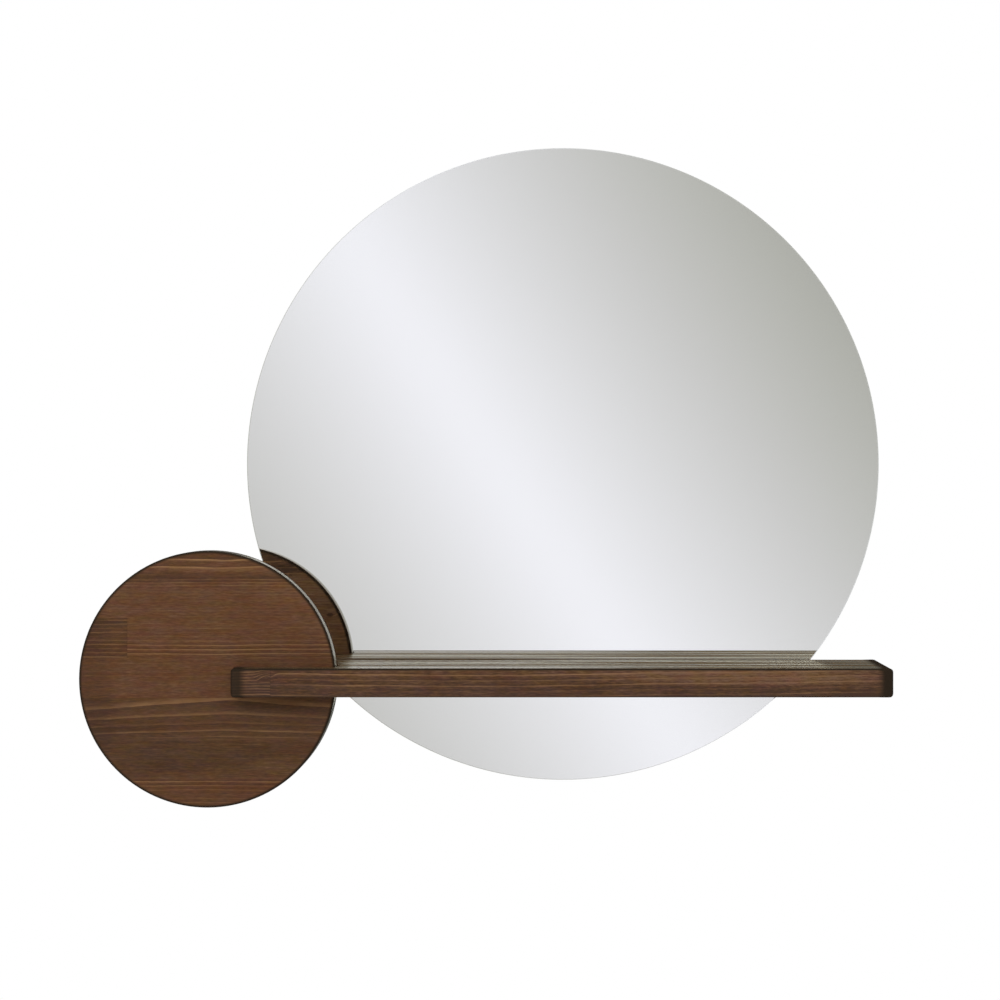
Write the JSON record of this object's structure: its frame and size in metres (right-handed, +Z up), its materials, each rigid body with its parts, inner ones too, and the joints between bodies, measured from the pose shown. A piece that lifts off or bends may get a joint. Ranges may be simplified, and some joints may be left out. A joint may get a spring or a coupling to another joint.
{
  "type": "mirror with shelf",
  "caption": "Round frameless wall mirror with a dark stained wooden shelf across its lower part and a wooden disc slotted onto the shelf's left end.",
  "frame": {"origin": "on the wall plane, at the centre of the backing board's flat rear face, which is the mirror's axis", "axes": "+Y points into the wall, out of the backing board's rear face; +X runs to the right as seen by someone who faces the mirror, along the shelf; +Z is up"},
  "size_m": [0.7408, 0.142, 0.614],
  "materials": {
    "fibreboard": "raw medium density fibreboard, cut edge a little darker",
    "foam_tape": "white closed-cell foam tape",
    "silver": "mirror silvering with a grey protective paint behind it",
    "glass": "clear float glass with a ground and polished edge",
    "nylon": "natural nylon",
    "shelf_pine": "brushed pine, dark walnut stain, satin clear coat",
    "yellow_zinc": "yellow passivated zinc",
    "disc_pine": "brushed pine, dark walnut stain, satin clear coat",
    "beech": "plain beech dowel",
    "zinc_steel": "bright zinc plate"
  },
  "bodies": {
    "root": {"backing_board": "fibreboard", "mounting_tape": "foam_tape", "silver_coating": "silver", "glass_pane": "glass", "glass_bushes": "nylon", "shelf_board": "shelf_pine", "shelf_screws": "yellow_zinc", "side_disc": "disc_pine", "disc_dowels": "beech", "hanger_plate_left": "zinc_steel", "hanger_plate_right": "zinc_steel", "hanger_screws": "zinc_steel"}
  },
  "joints": []
}
